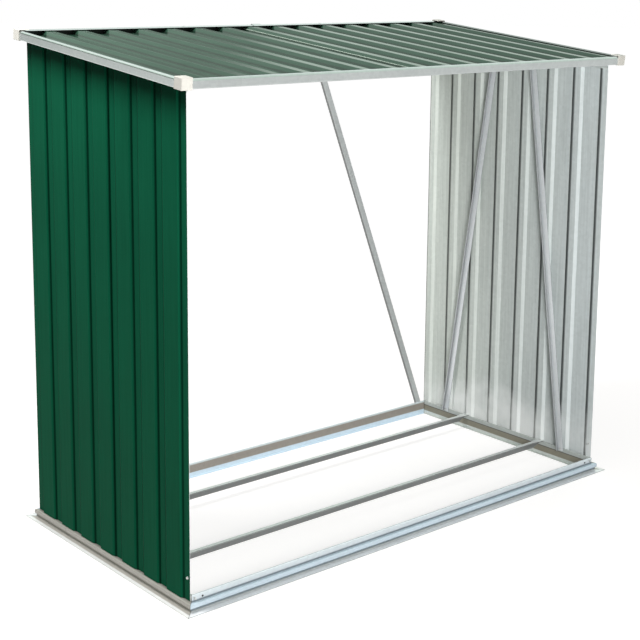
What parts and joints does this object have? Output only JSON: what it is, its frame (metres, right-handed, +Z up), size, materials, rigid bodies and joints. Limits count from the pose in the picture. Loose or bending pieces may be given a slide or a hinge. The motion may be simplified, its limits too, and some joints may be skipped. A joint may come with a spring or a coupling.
{
  "type": "log store",
  "caption": "Open-fronted metal log store with corrugated green side walls and a sloping corrugated roof on a galvanised base frame with cross bars and diagonal braces.",
  "frame": {"origin": "middle of the base's outline on the ground", "axes": "+X along the open front to the right seen from the front, +Y from the open front to the rear, +Z up"},
  "size_m": [1.726, 0.875, 1.4909],
  "materials": {
    "green_steel": "dark green coated corrugated steel outside, bare galvanised on the inner face of the walls",
    "galvanised_steel": "bare galvanised roll-formed steel",
    "white_plastic": "cream-white moulded plastic"
  },
  "bodies": {
    "root": {"base_front_cross_bar": "galvanised_steel", "base_front_rail": "galvanised_steel", "base_left_rail": "galvanised_steel", "base_rear_cross_bar": "galvanised_steel", "base_rear_rail": "galvanised_steel", "base_right_rail": "galvanised_steel", "left_top_rail": "galvanised_steel", "left_wall_front_brace": "galvanised_steel", "left_wall_front_sheet": "green_steel", "left_wall_rear_brace": "galvanised_steel", "left_wall_rear_sheet": "green_steel", "rear_left_brace": "galvanised_steel", "rear_right_brace": "galvanised_steel", "right_top_rail": "galvanised_steel", "right_wall_front_brace": "galvanised_steel", "right_wall_front_sheet": "green_steel", "right_wall_rear_brace": "galvanised_steel", "right_wall_rear_sheet": "green_steel", "roof_front_left_cap": "white_plastic", "roof_front_right_cap": "white_plastic", "roof_front_trim": "galvanised_steel", "roof_left_sheet": "green_steel", "roof_left_trim": "galvanised_steel", "roof_rear_left_cap": "white_plastic", "roof_rear_left_trim": "galvanised_steel", "roof_rear_right_cap": "white_plastic", "roof_rear_right_trim": "galvanised_steel", "roof_right_sheet": "green_steel", "roof_right_trim": "galvanised_steel"}
  },
  "joints": []
}
